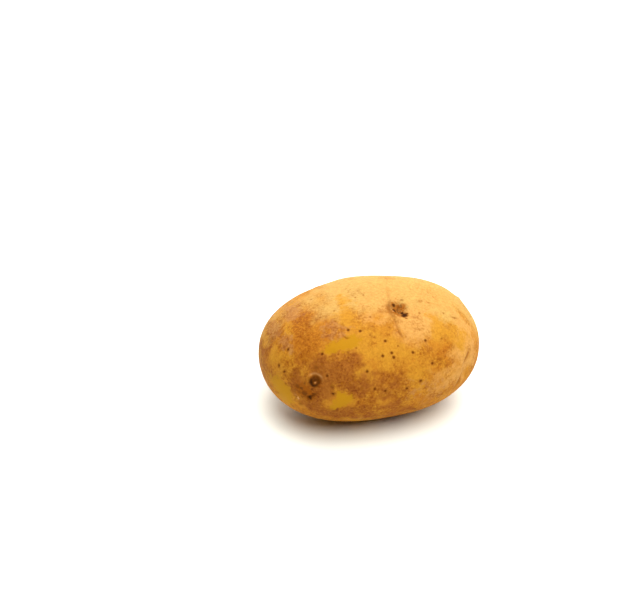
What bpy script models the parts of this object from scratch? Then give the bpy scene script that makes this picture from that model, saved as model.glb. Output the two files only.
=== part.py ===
"""A potato, built as the one tuber that grew, lying on a small flat spot.

The origin is on the surface that the tuber lies on, under the middle of its box, and +Z is up.
+X runs along the tuber to its rose end, where the eyes crowd together. The other end, at -X,
hung on the stolon, the underground stem, and keeps its round scar.
"""

import math
from dataclasses import dataclass
from functools import partial

import bmesh
import bpy
import numpy as np

MM = 0.001  # one millimetre in Blender's metres

# Size of the whole tuber, and how much of its round underside is missing where it lies flat
LENGTH = 91.0 * MM
WIDTH = 68.0 * MM
HEIGHT = 52.0 * MM
FLAT_DEPTH = 0.4 * MM

# The body before its swells: its half sizes, how full it is between them, and its taper
HALF_SIZES = (47.4 * MM, 34.0 * MM, 25.8 * MM)
FULLNESS = 2.15
ROSE_END_TAPER = 0.058

# Eyes stand on a spiral that starts at the stolon end
FIRST_EYE_POLAR = 160.0  # degrees from the rose tip
EYE_STEP = 20.0  # degrees nearer to the rose tip, from one eye to the next
FIRST_EYE_ROLL = -127.5  # degrees round the tuber, from its front towards its top
EYE_TURN = 137.5  # degrees further round, from one eye to the next

# Shape of an eye, in shares of its width
LID_DISTANCE = 0.26
LID_THICKNESS = 0.24
LID_CURVE = 0.60
LID_SPAN = 0.62
FLOOR_DISTANCE = 0.30
STEEP_SIDE = 0.22
OPEN_SIDE = 0.46
HOLLOW_SPAN = 0.48
BUD_RADIUS = 0.18
SADDLE_RADIUS = 1.15
EYE_REACH = 2.4
SADDLE_DEPTH = 0.45 * MM  # the broad dip round every eye

# The stolon scar: a round navel with a dry nub in it
SCAR_POLAR = 165.0
SCAR_ROLL = 188.0
SCAR_RADIUS = 3.2 * MM
SCAR_DEPTH = 1.2 * MM
NUB_RADIUS = 1.3 * MM
NUB_HEIGHT = 0.9 * MM
SCAR_REACH = 3.0  # in scar radii

# Fineness of the mesh: the whole body's, and how far finer rings reach, in widths of an eye or scar
BODY_SUBDIVISIONS = 5
RING_REACHES = (1.3, 0.85)

SKIN_COLOUR = (0.69, 0.36, 0.08, 1.0)
SKIN_ROUGHNESS = 0.55


@dataclass(frozen=True)
class Swell:
    """A broad rise that the body grew, or a flatter place where the height is negative.

    The angles are in degrees, seen from the heart of the tuber: azimuth from +X towards +Y,
    elevation above the horizon, and spread from the middle to where the height has faded to
    about a third.
    """

    azimuth: float
    elevation: float
    spread: float
    height: float


@dataclass(frozen=True)
class Eye:
    """An eye: a hollow with a bud in it, under a curved lid that lies towards the stolon end.

    polar_shift and roll_shift move the eye off the spiral, and lid_turn turns its lid away from
    the stolon end. They are in degrees.
    """

    width: float
    depth: float
    lid_height: float = 0.5 * MM
    bud_height: float = 0.6 * MM
    polar_shift: float = 0.0
    roll_shift: float = 0.0
    lid_turn: float = 0.0


SWELLS = {
    "rose_shoulder": Swell(10, 40, 34, 1.5 * MM),
    "rose_flank": Swell(-20, -25, 34, 1.3 * MM),
    "rose_tip": Swell(-5, 0, 30, -4.8 * MM),
    "crown": Swell(95, 62, 36, 1.0 * MM),
    "back_slope": Swell(60, 35, 32, -1.4 * MM),
    "stolon_slope": Swell(150, 30, 34, -1.4 * MM),
    "stolon_cheek": Swell(-155, -25, 34, 1.4 * MM),
    "front_belly": Swell(-75, -45, 36, 0.4 * MM),
    "back_cheek": Swell(128, -12, 26, 1.0 * MM),
    "back_waist": Swell(84, 4, 20, -1.0 * MM),
    "stolon_dent": Swell(-175, 13, 7, -0.6 * MM),
}

# The eyes in their order along the spiral
EYES = (
    Eye(width=5.0 * MM, depth=0.8 * MM, lid_height=0.35 * MM),
    Eye(width=5.6 * MM, depth=1.2 * MM, bud_height=0.9 * MM, lid_turn=50.0),
    Eye(width=6.6 * MM, depth=1.3 * MM),
    Eye(width=5.6 * MM, depth=0.9 * MM, lid_height=0.35 * MM, roll_shift=-35.0),
    Eye(width=7.6 * MM, depth=1.4 * MM, roll_shift=-4.0, lid_turn=15.0),
    Eye(width=7.0 * MM, depth=1.3 * MM, lid_turn=-20.0),
    Eye(width=8.0 * MM, depth=1.0 * MM, polar_shift=2.0, roll_shift=20.0, lid_turn=-12.0),
    Eye(width=6.2 * MM, depth=1.2 * MM),
    Eye(width=5.4 * MM, depth=1.1 * MM, polar_shift=6.0),
)


def towards(azimuth, elevation):
    """The unit vector at an azimuth from +X and an elevation above the horizon, in degrees."""
    a, e = math.radians(azimuth), math.radians(elevation)
    return np.array([math.cos(e) * math.cos(a), math.cos(e) * math.sin(a), math.sin(e)])


def on_spiral(polar, roll):
    """The unit vector at an angle from the rose tip and a roll from the front, in degrees."""
    p, r = math.radians(polar), math.radians(roll)
    return np.array([math.cos(p), -math.sin(p) * math.cos(r), math.sin(p) * math.sin(r)])


def eye_direction(number, eye):
    """Where an eye stands, seen from the heart of the tuber."""
    polar = FIRST_EYE_POLAR - EYE_STEP * number + eye.polar_shift
    roll = FIRST_EYE_ROLL + EYE_TURN * number + eye.roll_shift
    return on_spiral(polar, roll)


def hump(distance):
    """A smooth rise, 1 in the middle and nearly nothing at a distance of 2."""
    return np.exp(-(distance**2))


def grown_body(directions):
    """The points of the body in these directions, with its swells but without eyes and scar."""
    halves = np.array(HALF_SIZES)
    radius = (np.abs(directions / halves) ** FULLNESS).sum(axis=1) ** (-1 / FULLNESS)
    for swell in SWELLS.values():
        middle = towards(swell.azimuth, swell.elevation)
        angle = np.degrees(np.arccos(np.clip(directions @ middle, -1, 1)))
        radius = radius + swell.height * hump(angle / swell.spread)
    points = directions * radius[:, None]
    points[:, 1:] *= 1 - ROSE_END_TAPER * points[:, :1] / halves[0]
    return points


def eye_relief(eye, along, across):
    """How far an eye raises the skin, at points that lie along and across from its middle.

    along runs towards the lid, whose line curves round the hollow. The hollow drops steeply
    from the lid and rises slowly on its open side.
    """
    w = eye.width
    past_lid = along - LID_DISTANCE * w + LID_CURVE * across**2 / w
    lid = eye.lid_height * hump(past_lid / (LID_THICKNESS * w)) * hump(across / (LID_SPAN * w))
    from_floor = past_lid + FLOOR_DISTANCE * w
    side = np.where(from_floor > 0, STEEP_SIDE, OPEN_SIDE) * w
    hollow = eye.depth * hump(from_floor / side) * hump(across / (HOLLOW_SPAN * w))
    from_middle = np.hypot(along, across)
    bud = eye.bud_height * hump(from_middle / (BUD_RADIUS * w))
    saddle = SADDLE_DEPTH * hump(from_middle / (SADDLE_RADIUS * w))
    return lid - hollow + bud - saddle


def scar_relief(along, across):
    """How far the stolon scar raises the skin, at points along and across from its middle."""
    distance = np.hypot(along, across)
    navel = SCAR_DEPTH * hump((distance / SCAR_RADIUS) ** 2)
    return NUB_HEIGHT * hump(distance / NUB_RADIUS) - navel


def ball_with_rings(marks):
    """A unit ball of triangles, finer in rings round the marks' directions.

    marks is a list of a direction and a width for each eye and for the scar.
    """
    ball = bmesh.new()
    bmesh.ops.create_icosphere(ball, subdivisions=BODY_SUBDIVISIONS, radius=1.0)
    middles = grown_body(np.array([direction for direction, width in marks]))
    for ring_reach in RING_REACHES:
        body = grown_body(np.array([vert.co for vert in ball.verts]))
        near = np.zeros(len(body), bool)
        for middle, (direction, width) in zip(middles, marks):
            near |= np.linalg.norm(body - middle, axis=1) < ring_reach * width
        edges = [e for e in ball.edges if near[e.verts[0].index] and near[e.verts[1].index]]
        bmesh.ops.subdivide_edges(ball, edges=edges, cuts=1)
        bmesh.ops.triangulate(ball, faces=ball.faces)
        for vert in ball.verts:
            vert.co.normalize()
        ball.verts.index_update()
    return ball


def raised_by(relief, points, normals, middle, lid_way, reach):
    """How far one eye or scar raises each point of the body.

    Args:
        relief: gives the rise from the distances along and across from the middle.
        points: the body's points.
        normals: the body's outward normals there.
        middle: where the eye or scar lies.
        lid_way: which way is along.
        reach: how far from the middle it still raises or sinks the skin.
    """
    offset = points - middle
    distance = np.linalg.norm(offset, axis=1)
    normal = normals[distance.argmin()]
    across_way = np.cross(normal, lid_way)
    across_way /= np.linalg.norm(across_way)
    along_way = np.cross(across_way, normal)
    close = distance < reach
    raised = np.zeros(len(points))
    raised[close] = relief(offset[close] @ along_way, offset[close] @ across_way)
    return raised


def turned(way, axis, degrees):
    """A vector turned about an axis."""
    a = math.radians(degrees)
    axis = axis / np.linalg.norm(axis)
    upright = axis * (axis @ way)
    return upright + (way - upright) * math.cos(a) + np.cross(axis, way) * math.sin(a)


def stand_on_surface(points):
    """Presses the underside flat, brings the tuber to its size and stands it on z = 0."""
    points[:, 2] = np.maximum(points[:, 2], points[:, 2].min() + FLAT_DEPTH)
    low, high = points.min(axis=0), points.max(axis=0)
    points = (points - (low + high) / 2) * np.array([LENGTH, WIDTH, HEIGHT]) / (high - low)
    points[:, 2] -= points[:, 2].min()
    return points


def skin_material():
    """The tan yellow skin."""
    skin = bpy.data.materials.new("potato_skin")
    skin.use_nodes = True
    shader = skin.node_tree.nodes["Principled BSDF"]
    shader.inputs["Base Color"].default_value = SKIN_COLOUR
    shader.inputs["Roughness"].default_value = SKIN_ROUGHNESS
    shader.inputs["Metallic"].default_value = 0.0
    return skin


def main():
    """Builds the tuber."""
    for old in list(bpy.data.objects):
        bpy.data.objects.remove(old)

    scar_direction = on_spiral(SCAR_POLAR, SCAR_ROLL)
    marks = [(eye_direction(number, eye), eye.width) for number, eye in enumerate(EYES)]
    marks.append((scar_direction, 2 * SCAR_RADIUS))
    ball = ball_with_rings(marks)
    points = grown_body(np.array([vert.co for vert in ball.verts]))
    for vert, point in zip(ball.verts, points):
        vert.co = point
    ball.normal_update()
    normals = np.array([vert.normal for vert in ball.verts])

    raised = np.zeros(len(points))
    to_stolon = np.array([-1.0, 0.0, 0.0])
    for number, eye in enumerate(EYES):
        middle = grown_body(eye_direction(number, eye)[None, :])[0]
        lid_way = turned(to_stolon, middle, eye.lid_turn)
        relief = partial(eye_relief, eye)
        raised += raised_by(relief, points, normals, middle, lid_way, EYE_REACH * eye.width)
    scar = grown_body(scar_direction[None, :])[0]
    upwards = np.array([0.0, 0.0, 1.0])
    raised += raised_by(scar_relief, points, normals, scar, upwards, SCAR_REACH * SCAR_RADIUS)
    points = stand_on_surface(points + normals * raised[:, None])
    for vert, point in zip(ball.verts, points):
        vert.co = point

    mesh = bpy.data.meshes.new("potato")
    ball.to_mesh(mesh)
    ball.free()
    mesh.shade_smooth()
    mesh.materials.append(skin_material())
    bpy.context.scene.collection.objects.link(bpy.data.objects.new("potato", mesh))


main()
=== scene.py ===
"""The looks of a potato: the grown shape in full, its mottled skin, and a plain studio round it.

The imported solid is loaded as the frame. One finer mesh of the same tuber takes its place, with
the eyes, the lenticels, the creases and the crust in its surface, and what colours the skin in
its attributes.
"""

import logging
import math
from dataclasses import dataclass
from enum import Enum
from functools import partial
from typing import Any, Callable

import bpy
import numpy as np
from mathutils import Matrix, Vector, noise


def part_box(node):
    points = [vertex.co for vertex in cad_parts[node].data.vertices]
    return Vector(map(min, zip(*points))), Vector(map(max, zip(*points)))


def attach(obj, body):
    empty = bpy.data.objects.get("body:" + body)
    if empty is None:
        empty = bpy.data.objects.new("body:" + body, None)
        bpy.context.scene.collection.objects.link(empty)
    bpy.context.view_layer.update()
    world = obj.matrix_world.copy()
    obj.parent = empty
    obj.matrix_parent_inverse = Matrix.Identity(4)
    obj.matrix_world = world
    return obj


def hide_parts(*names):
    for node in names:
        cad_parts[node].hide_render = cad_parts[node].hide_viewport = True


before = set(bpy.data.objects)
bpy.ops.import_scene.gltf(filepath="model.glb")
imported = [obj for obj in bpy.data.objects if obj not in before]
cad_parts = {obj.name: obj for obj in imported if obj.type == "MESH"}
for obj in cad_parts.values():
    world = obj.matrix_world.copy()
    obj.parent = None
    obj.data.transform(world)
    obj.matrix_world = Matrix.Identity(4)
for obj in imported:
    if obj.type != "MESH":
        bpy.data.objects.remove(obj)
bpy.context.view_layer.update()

MM = 0.001  # one millimetre in Blender's metres
Array = np.ndarray
Socket = bpy.types.NodeSocket
Pixel = tuple[float, float]  # a place in the photograph, which is 629 by 612 pixels
NODE = "potato"

log = logging.getLogger("potato")


def linear(colour: str) -> tuple[float, float, float, float]:
    """Turns an sRGB hex colour into a linear one.

    Args:
        colour: Six hex digits after a number sign.

    Returns:
        Red, green, blue and a full alpha.
    """
    shares = [int(colour[i:i + 2], 16) / 255 for i in (1, 3, 5)]
    red, green, blue = (s / 12.92 if s <= 0.04045 else ((s + 0.055) / 1.055) ** 2.4 for s in shares)
    return red, green, blue, 1.0


def hump(distance: Array) -> Array:
    """A smooth rise, 1 in the middle and nearly nothing at a distance of 2."""
    return np.exp(-(distance**2))


def towards(azimuth: float, elevation: float) -> Array:
    """The unit vector at an azimuth from +X and an elevation above the horizon, in degrees."""
    a, e = math.radians(azimuth), math.radians(elevation)
    return np.array([math.cos(e) * math.cos(a), math.cos(e) * math.sin(a), math.sin(e)])


UPRIGHT = towards(0, 90)


def unit(vectors: Array) -> Array:
    """The same vectors, each one long."""
    return vectors / np.linalg.norm(vectors, axis=-1, keepdims=True)


def on_spiral(polar: float, roll: float) -> Array:
    """The unit vector at an angle from the rose tip and a roll from the front, in degrees."""
    p, r = math.radians(polar), math.radians(roll)
    return np.array([math.cos(p), -math.sin(p) * math.cos(r), math.sin(p) * math.sin(r)])


def turned(way: Array, axis: Array, degrees: float) -> Array:
    """A vector turned about an axis."""
    a, axis = math.radians(degrees), unit(axis)
    upright = axis * (axis @ way)
    return upright + (way - upright) * math.cos(a) + np.cross(axis, way) * math.sin(a)


@dataclass(frozen=True)
class PhotoCamera:
    """The camera of the photograph, as its picture of the tuber gives it.

    Lengths are in metres, but the lens and the sensor are in millimetres. Angles are in degrees.
    """

    lens: float = 85.0
    sensor: float = 36.0
    picture: tuple[int, int] = (629, 612)
    distance: float = 0.606
    azimuth: float = -14.0
    elevation: float = 30.0
    middle_of_tuber: Pixel = (368.9, 344.9)
    clip_start: float = 0.01

    def axes(self) -> tuple[Array, Array, Array]:
        """The ways to the right of the picture, up it, and out of it towards the eye."""
        back = towards(self.azimuth - 90.0, self.elevation)
        right = towards(self.azimuth, 0.0)
        return right, np.cross(back, right), back

    def way(self, pixel: Pixel) -> Array:
        """The way from the camera through a pixel, as far as a depth of one."""
        right, up, back = self.axes()
        pixels_per_slope = self.lens / self.sensor * max(self.picture)
        beside = (pixel[0] - self.picture[0] / 2) / pixels_per_slope
        above = (self.picture[1] / 2 - pixel[1]) / pixels_per_slope
        return right * beside + up * above - back

    def place(self, target: Array) -> Array:
        """Where the camera stands when target shows at middle_of_tuber."""
        return target - self.way(self.middle_of_tuber) * self.distance

    def build(self, target: Array) -> None:
        """Adds the camera and makes it the scene's."""
        data = bpy.data.cameras.new("photo_camera")
        data.lens, data.sensor_width, data.clip_start = self.lens, self.sensor, self.clip_start
        camera = bpy.data.objects.new("photo_camera", data)
        turn = Matrix([list(axis) for axis in self.axes()]).transposed().to_4x4()
        camera.matrix_world = Matrix.Translation(Vector(self.place(target))) @ turn
        bpy.context.scene.collection.objects.link(camera)
        bpy.context.scene.camera = camera


@dataclass(frozen=True)
class Swell:
    """A broad rise that the body grew, or a flatter place where the height is negative.

    The angles are in degrees, seen from the heart of the tuber: azimuth from +X towards +Y,
    elevation above the horizon, and spread from the middle to where the height has faded to
    about a third.
    """

    azimuth: float
    elevation: float
    spread: float
    height: float


class Tint(Enum):
    """What colours the skin. Each is an attribute of the mesh under the same name.

    The first seven say how many millimetres inside the edge of such a patch a point is, and the
    others are shares from 0 to 1. The pale yellow and the pinkish patches over the top and the upper
    right are partly painted sheen, the paleness of the light falling there. The brown corky patches are
    the skin's own, but for a band at the left end that is painted shade. The brown crust and the dark
    shares hold real crust, stains and pores, and also painted shade in the creases and eye hollows.
    """

    RUSSET = "russet"
    STRAW_AND_SHEEN = "straw_and_sheen"
    PEACH_AND_SHEEN = "peach_and_sheen"
    SMOOTH = "smooth"
    CORK_AND_SHADE = "cork_and_shade"
    SCURF = "scurf"
    BARE = "bare"
    CRUST_AND_SHADE = "crust"
    PALE = "pale"
    DARK = "dark"


PATCH_TINTS = (Tint.RUSSET, Tint.STRAW_AND_SHEEN, Tint.PEACH_AND_SHEEN, Tint.SMOOTH, Tint.CORK_AND_SHADE, Tint.SCURF, Tint.BARE)
PATCH_EDGE_REACH = 8.0  # millimetres from a patch's edge that its attribute still counts
NOISE_SPREAD = 0.12  # how far Blender's noise usually strays from its middle value


@dataclass
class Skin:
    """The skin while it is being marked: its points, and what the marks do to each."""

    points: Array
    normals: Array

    def __post_init__(self) -> None:
        """Starts with smooth, unmarked skin."""
        count = len(self.points)
        self.raised = np.zeros(count)
        self.tints = {tint: np.zeros(count) for tint in Tint}
        for tint in PATCH_TINTS:
            self.tints[tint] -= PATCH_EDGE_REACH

    def paint(self, tint: Tint, where: Array, share: Array) -> None:
        """Gives points at least that share of a tint."""
        self.tints[tint][where] = np.maximum(self.tints[tint][where], share)


@dataclass(frozen=True)
class Spot:
    """A place on the skin, the way out of it there, and a way along it."""

    middle: Array
    outwards: Array
    way: Array

    def axes(self) -> tuple[Array, Array]:
        """The unit vectors along the skin that lie nearest the way, and across it."""
        across = unit(np.cross(self.outwards, self.way))
        return np.cross(across, self.outwards), across

    def measure(self, points: Array) -> tuple[Array, Array]:
        """How far points lie from the middle along the way, and across it."""
        along, across = self.axes()
        return (points - self.middle) @ along, (points - self.middle) @ across

    def near(self, points: Array, reach: float) -> Array:
        """Which points lie within reach of the middle."""
        return np.linalg.norm(points - self.middle, axis=1) < reach


class Mark:
    """Anything that shapes or tints a small part of the skin."""

    def wanted_passes(self, points: Array) -> Array:
        """How many times the mesh is to be refined at each point."""
        return np.zeros(len(points), int)

    def press_into(self, skin: Skin) -> None:
        """Shapes and tints the skin."""


@dataclass(frozen=True)
class RoundMark(Mark):
    """A mark round a spot."""

    spot: Spot

    def zones(self) -> tuple[float, ...]:
        """How far from the spot the mesh is refined once, twice and three times."""
        return ()

    def wanted_passes(self, points: Array) -> Array:
        """How many zones each point lies in."""
        return sum(self.spot.near(points, reach).astype(int) for reach in self.zones())

    def around(self, skin: Skin, reach: float, grain: float) -> tuple[Array, Array, Array]:
        """Which points lie within reach, how far they are from the spot, and a noise there."""
        near = self.spot.near(skin.points, reach)
        return near, np.hypot(*self.spot.measure(skin.points[near])), rough_noise(skin.points[near], grain)


def rough_noise(points: Array, grain: float) -> Array:
    """Noise between about -1 and 1 at each point, with bumps as far apart as the grain."""
    return np.array([noise.noise(Vector(p)) for p in points / grain])


@dataclass(frozen=True)
class Eye:
    """An eye: a hollow with a bud in it, under a curved lid that lies towards the stolon end.

    polar_shift and roll_shift move the eye off the spiral, and lid_turn turns its lid away from
    the stolon end. They are in degrees. The shares of its width are the same for every eye.
    """

    width: float
    depth: float
    lid_height: float = 0.5 * MM
    bud_height: float = 0.6 * MM
    polar_shift: float = 0.0
    roll_shift: float = 0.0
    lid_turn: float = 0.0

    def relief(self, along: Array, across: Array) -> Array:
        """How far it raises the skin. The hollow drops steeply from the lid, then rises slowly."""
        w = self.width
        past_lid = along - LID_DISTANCE * w + LID_CURVE * across**2 / w
        lid = self.lid_height * hump(past_lid / (LID_THICKNESS * w)) * hump(across / (LID_SPAN * w))
        from_floor = past_lid + FLOOR_DISTANCE * w
        side = np.where(from_floor > 0, STEEP_SIDE, OPEN_SIDE) * w
        hollow = self.depth * hump(from_floor / side) * hump(across / (HOLLOW_SPAN * w))
        from_middle = np.hypot(along, across)
        bud = self.bud_height * hump(from_middle / (BUD_RADIUS * w))
        saddle = SADDLE_DEPTH * hump(from_middle / (SADDLE_RADIUS * w))
        return lid - hollow + bud - saddle


# Shape of an eye, in shares of its width
LID_DISTANCE = 0.26
LID_THICKNESS = 0.24
LID_CURVE = 0.60
LID_SPAN = 0.62
FLOOR_DISTANCE = 0.30
STEEP_SIDE = 0.22
OPEN_SIDE = 0.46
HOLLOW_SPAN = 0.48
BUD_RADIUS = 0.18
SADDLE_RADIUS = 1.15
FOLD_WIDTH = 0.13
FOLD_SPAN = 0.42
CRUST_RADIUS = 0.46
DISC_RADIUS = 0.43
RIM_RADIUS = 1.32 * DISC_RADIUS
RIM_WIDTH = 0.22 * DISC_RADIUS
DISC_SHIFT = 0.55  # a share of the bud's shift
BUD_SPOT = 0.10
EYE_REACH = 2.4
SADDLE_DEPTH = 0.45 * MM  # the same for every eye


@dataclass(frozen=True)
class EyeLook:
    """How dry and how dark an eye is, in shares from 0 to 1.

    crust is for its floor, and fold for the painted shade of the line under its lid. disc is for the
    dark disc round its bud, partly a stain and partly painted shade in the hollow, and rim for the pale
    edge of that disc, opposite the lid. bud_shift moves the clear bud along and across the eye, in shares
    of its width.
    """

    crust: float = 0.4
    fold: float = 0.6
    disc: float = 0.0
    rim: float = 0.0
    bud_shift: tuple[float, float] = (0.0, 0.0)


@dataclass(frozen=True)
class EyeOnSkin(RoundMark):
    """An eye where it lies, with the dry crust that it has in the skin, and dark places that are partly
    painted shade in its hollow.
    """

    eye: Eye
    look: EyeLook
    crust_grain: float = 0.8 * MM
    crust_relief: float = 0.16 * MM

    def zones(self) -> tuple[float, ...]:
        """Twice under the lid and round the bud, and once round that."""
        return 1.2 * self.eye.width, 0.75 * self.eye.width

    def press_into(self, skin: Skin) -> None:
        """Sinks the eye in, roughens its floor and paints shade into the fold under its lid."""
        w, look = self.eye.width, self.look
        near, from_middle, rough = self.around(skin, EYE_REACH * w, self.crust_grain)
        along, across = self.spot.measure(skin.points[near])
        skin.raised[near] += self.eye.relief(along, across)
        past_lid = along - LID_DISTANCE * w + LID_CURVE * across**2 / w
        fold = hump((past_lid + FLOOR_DISTANCE * w) / (FOLD_WIDTH * w))
        fold *= hump((across / (FOLD_SPAN * w)) ** 2)
        from_bud = np.hypot(along - look.bud_shift[0] * w, across - look.bud_shift[1] * w)
        past_disc = np.array([along, across]) - DISC_SHIFT * w * np.array(look.bud_shift)[:, None]
        from_disc = np.hypot(*past_disc)
        # The dark disc round the bud is partly a stain and partly painted shade in the hollow, darker towards
        # the lid.
        disc = hump((from_disc / (DISC_RADIUS * w)) ** 3) * (1 - 0.9 * hump(from_bud / (BUD_SPOT * w)))
        skin.paint(Tint.CRUST_AND_SHADE, near, 1.1 * look.disc * disc)
        disc *= 0.86 + 0.24 * along / (DISC_RADIUS * w) + 0.25 * rough
        facing = np.clip(-(past_disc[0] + 0.8 * past_disc[1]) / np.maximum(from_disc, 0.1 * MM), 0, 1)
        rim = look.rim * facing**3 * hump((from_disc / w - RIM_RADIUS) / RIM_WIDTH)
        bud = 1.6 * look.rim * hump(from_bud / (0.8 * BUD_SPOT * w))
        crust = hump((from_middle / (CRUST_RADIUS * w)) ** 2) * look.crust
        skin.raised[near] += crust * rough * self.crust_relief
        skin.paint(Tint.CRUST_AND_SHADE, near, crust * (1.1 + 0.9 * rough))
        # Painted shade: the fold under the lid, where the hollow drops away, is browned and darkened.
        skin.paint(Tint.CRUST_AND_SHADE, near, look.fold * fold * (1.1 + 0.5 * rough))
        dark = np.clip(1.4 * look.fold - 0.5, 0, 1) * fold * (0.9 + 0.6 * rough)
        skin.paint(Tint.DARK, near, dark + look.disc * disc)
        skin.paint(Tint.PALE, near, np.maximum(rim, bud))


@dataclass(frozen=True)
class Scar(RoundMark):
    """The round scar of the stolon: a navel with a dry nub in it."""

    radius: float = 3.2 * MM
    depth: float = 1.2 * MM
    nub_radius: float = 1.3 * MM
    nub_height: float = 0.9 * MM
    ring_width: float = 0.6 * MM
    grain: float = 0.9 * MM
    relief: float = 0.15 * MM

    def zones(self) -> tuple[float, ...]:
        """Twice on the navel, and once round it."""
        return 2 * self.radius, 1.3 * self.radius

    def press_into(self, skin: Skin) -> None:
        """Sinks the navel in, with its dry brown nub."""
        near, distance, rough = self.around(skin, 3 * self.radius, self.grain)
        navel = self.depth * hump((distance / self.radius) ** 2)
        nub = self.nub_height * hump(distance / self.nub_radius)
        skin.raised[near] += nub - navel + self.relief * rough * hump(distance / self.radius)
        skin.paint(Tint.CRUST_AND_SHADE, near, hump(distance / (0.9 * self.radius)) * (0.9 + 0.6 * rough))
        ring = hump((distance - self.nub_radius) / self.ring_width)
        skin.paint(Tint.DARK, near, (0.45 + 0.6 * rough) * ring)


@dataclass(frozen=True)
class Lenticel(RoundMark):
    """A breathing pore: a small brown pit with a low pale rim."""

    radius: float
    darkness: float
    depth_share: float = 0.34
    rim_share: float = 0.05
    paleness: float = 0.04

    def zones(self) -> tuple[float, ...]:
        """Twice in the pit, and once on its rim."""
        return 1.7 * self.radius + 0.2 * MM, 1.15 * self.radius + 0.1 * MM

    def press_into(self, skin: Skin) -> None:
        """Sinks the pit in and raises its rim."""
        near = self.spot.near(skin.points, 4 * self.radius)
        distance = np.hypot(*self.spot.measure(skin.points[near])) / self.radius
        rim = hump((distance - 1.5) / 0.55)
        skin.raised[near] += self.radius * (self.rim_share * rim - self.depth_share * hump(distance))
        skin.paint(Tint.CRUST_AND_SHADE, near, self.darkness * hump((distance / 1.25) ** 2))
        skin.paint(Tint.DARK, near, (1.6 * self.darkness - 0.75) * hump((distance / 0.95) ** 2))
        skin.paint(Tint.PALE, near, self.paleness * rim)


@dataclass(frozen=True)
class Stain(RoundMark):
    """A small level spot of one tint with an uneven edge. A dark one has a brown rim."""

    tint: Tint
    share: float
    radius: float
    grain: float = 0.8 * MM
    unevenness: float = 0.35

    def zones(self) -> tuple[float, ...]:
        """Three times at its middle, because it is only a pixel or two wide, and twice round that."""
        return self.radius + 0.2 * MM, self.radius + 0.2 * MM, 0.7 * self.radius

    def press_into(self, skin: Skin) -> None:
        """Tints the spot."""
        near, distance, rough = self.around(skin, 3 * self.radius, self.grain)
        out = distance / self.radius * (1 + self.unevenness * rough)
        skin.paint(self.tint, near, self.share * hump(out**2))
        if self.tint is Tint.DARK:
            skin.paint(Tint.CRUST_AND_SHADE, near, min(1.2 * self.share, 1.0) * hump((0.72 * out) ** 2))


@dataclass(frozen=True)
class Crease(Mark):
    """A fine fold in the skin that runs through a few points, and fades at its ends.

    Its brown and black are painted shade along the fold: it is brown at a low darkness and nearly black at 1.
    """

    points: Array
    width: float
    darkness: float
    depth_share: float = 0.3

    def distances(self, points: Array) -> tuple[Array, Array]:
        """How far points lie from the crease, and their share of the way along it."""
        best = np.full(len(points), np.inf)
        share = np.zeros(len(points))
        legs = len(self.points) - 1
        for leg, (start, end) in enumerate(zip(self.points, self.points[1:])):
            way = end - start
            t = np.clip((points - start) @ way / (way @ way), 0, 1)
            distance = np.linalg.norm(points - start - t[:, None] * way, axis=1)
            closer = distance < best
            best[closer] = distance[closer]
            share[closer] = (leg + t[closer]) / legs
        return best, share

    def wanted_passes(self, points: Array) -> Array:
        """Twice in the fold."""
        return (self.distances(points)[0] < 1.4 * self.width).astype(int) * 2

    def press_into(self, skin: Skin) -> None:
        """Folds the skin in along the line, and paints shade into the fold."""
        distance, share = self.distances(skin.points)
        near = distance < 3 * self.width
        strength = np.sin(np.pi * np.clip(share[near], 0.06, 0.94)) ** 0.6
        fold = hump(distance[near] / (0.5 * self.width)) * strength
        skin.raised[near] -= self.depth_share * self.width * fold
        # Painted shade: the fold is browned along its line, and blackened where it is dark.
        brown = min(1.3 * self.darkness, 1.0) * strength
        skin.paint(Tint.CRUST_AND_SHADE, near, brown * hump(distance[near] / (0.7 * self.width)))
        skin.paint(Tint.DARK, near, max(1.6 * self.darkness - 0.7, 0.0) * fold)


@dataclass(frozen=True)
class Crumbs(RoundMark):
    """A rough place of dry, flaking skin: darker in its cracks, partly with painted shade, and paler on its
    flakes, partly with painted highlight.
    """

    radius: float
    crust: float
    dark: float
    pale: float
    grain: float
    relief: float = 0.18 * MM

    def zones(self) -> tuple[float, ...]:
        """Twice all over."""
        return 1.1 * self.radius, 1.1 * self.radius

    def press_into(self, skin: Skin) -> None:
        """Roughens and colours the place."""
        near, distance, rough = self.around(skin, 2 * self.radius, self.grain)
        fine = rough_noise(skin.points[near] + 7 * MM, 0.5 * self.grain)
        inside = hump((distance / self.radius) ** 2)
        height = inside * (0.7 * rough + 0.3 * fine)
        skin.raised[near] += self.relief * height
        skin.paint(Tint.CRUST_AND_SHADE, near, self.crust * inside * (0.9 + 1.2 * rough))
        # Painted shade in the cracks and painted highlight on the raised flakes, over the crust's own brown.
        skin.paint(Tint.DARK, near, self.dark * np.clip(-4.5 * height - 0.35 * inside, 0, 1))
        skin.paint(Tint.PALE, near, self.pale * (4.0 * height - 0.5 * inside))


@dataclass(frozen=True)
class Patch(Mark):
    """A patch of one kind of skin, inside a convex outline of a few corners.

    The depth, in millimetres, is how far inside its edge the patch stops growing stronger. Its
    edge is drawn finer than the mesh.
    """

    tint: Tint
    depth: float
    corners: Array
    outwards: Array

    def press_into(self, skin: Skin) -> None:
        """Tells each point how far inside the outline it is, in millimetres."""
        middle = self.corners.mean(axis=0)
        facing = skin.normals @ self.outwards > 0.2
        inside = np.full(facing.sum(), np.inf)
        for corner, following in zip(self.corners, np.roll(self.corners, -1, axis=0)):
            inwards = np.cross(self.outwards, following - corner)
            inwards *= np.sign(inwards @ (middle - corner)) / np.linalg.norm(inwards)
            inside = np.minimum(inside, (skin.points[facing] - corner) @ inwards)
        skin.paint(self.tint, facing, np.clip(inside / MM, -PATCH_EDGE_REACH, self.depth))


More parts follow.
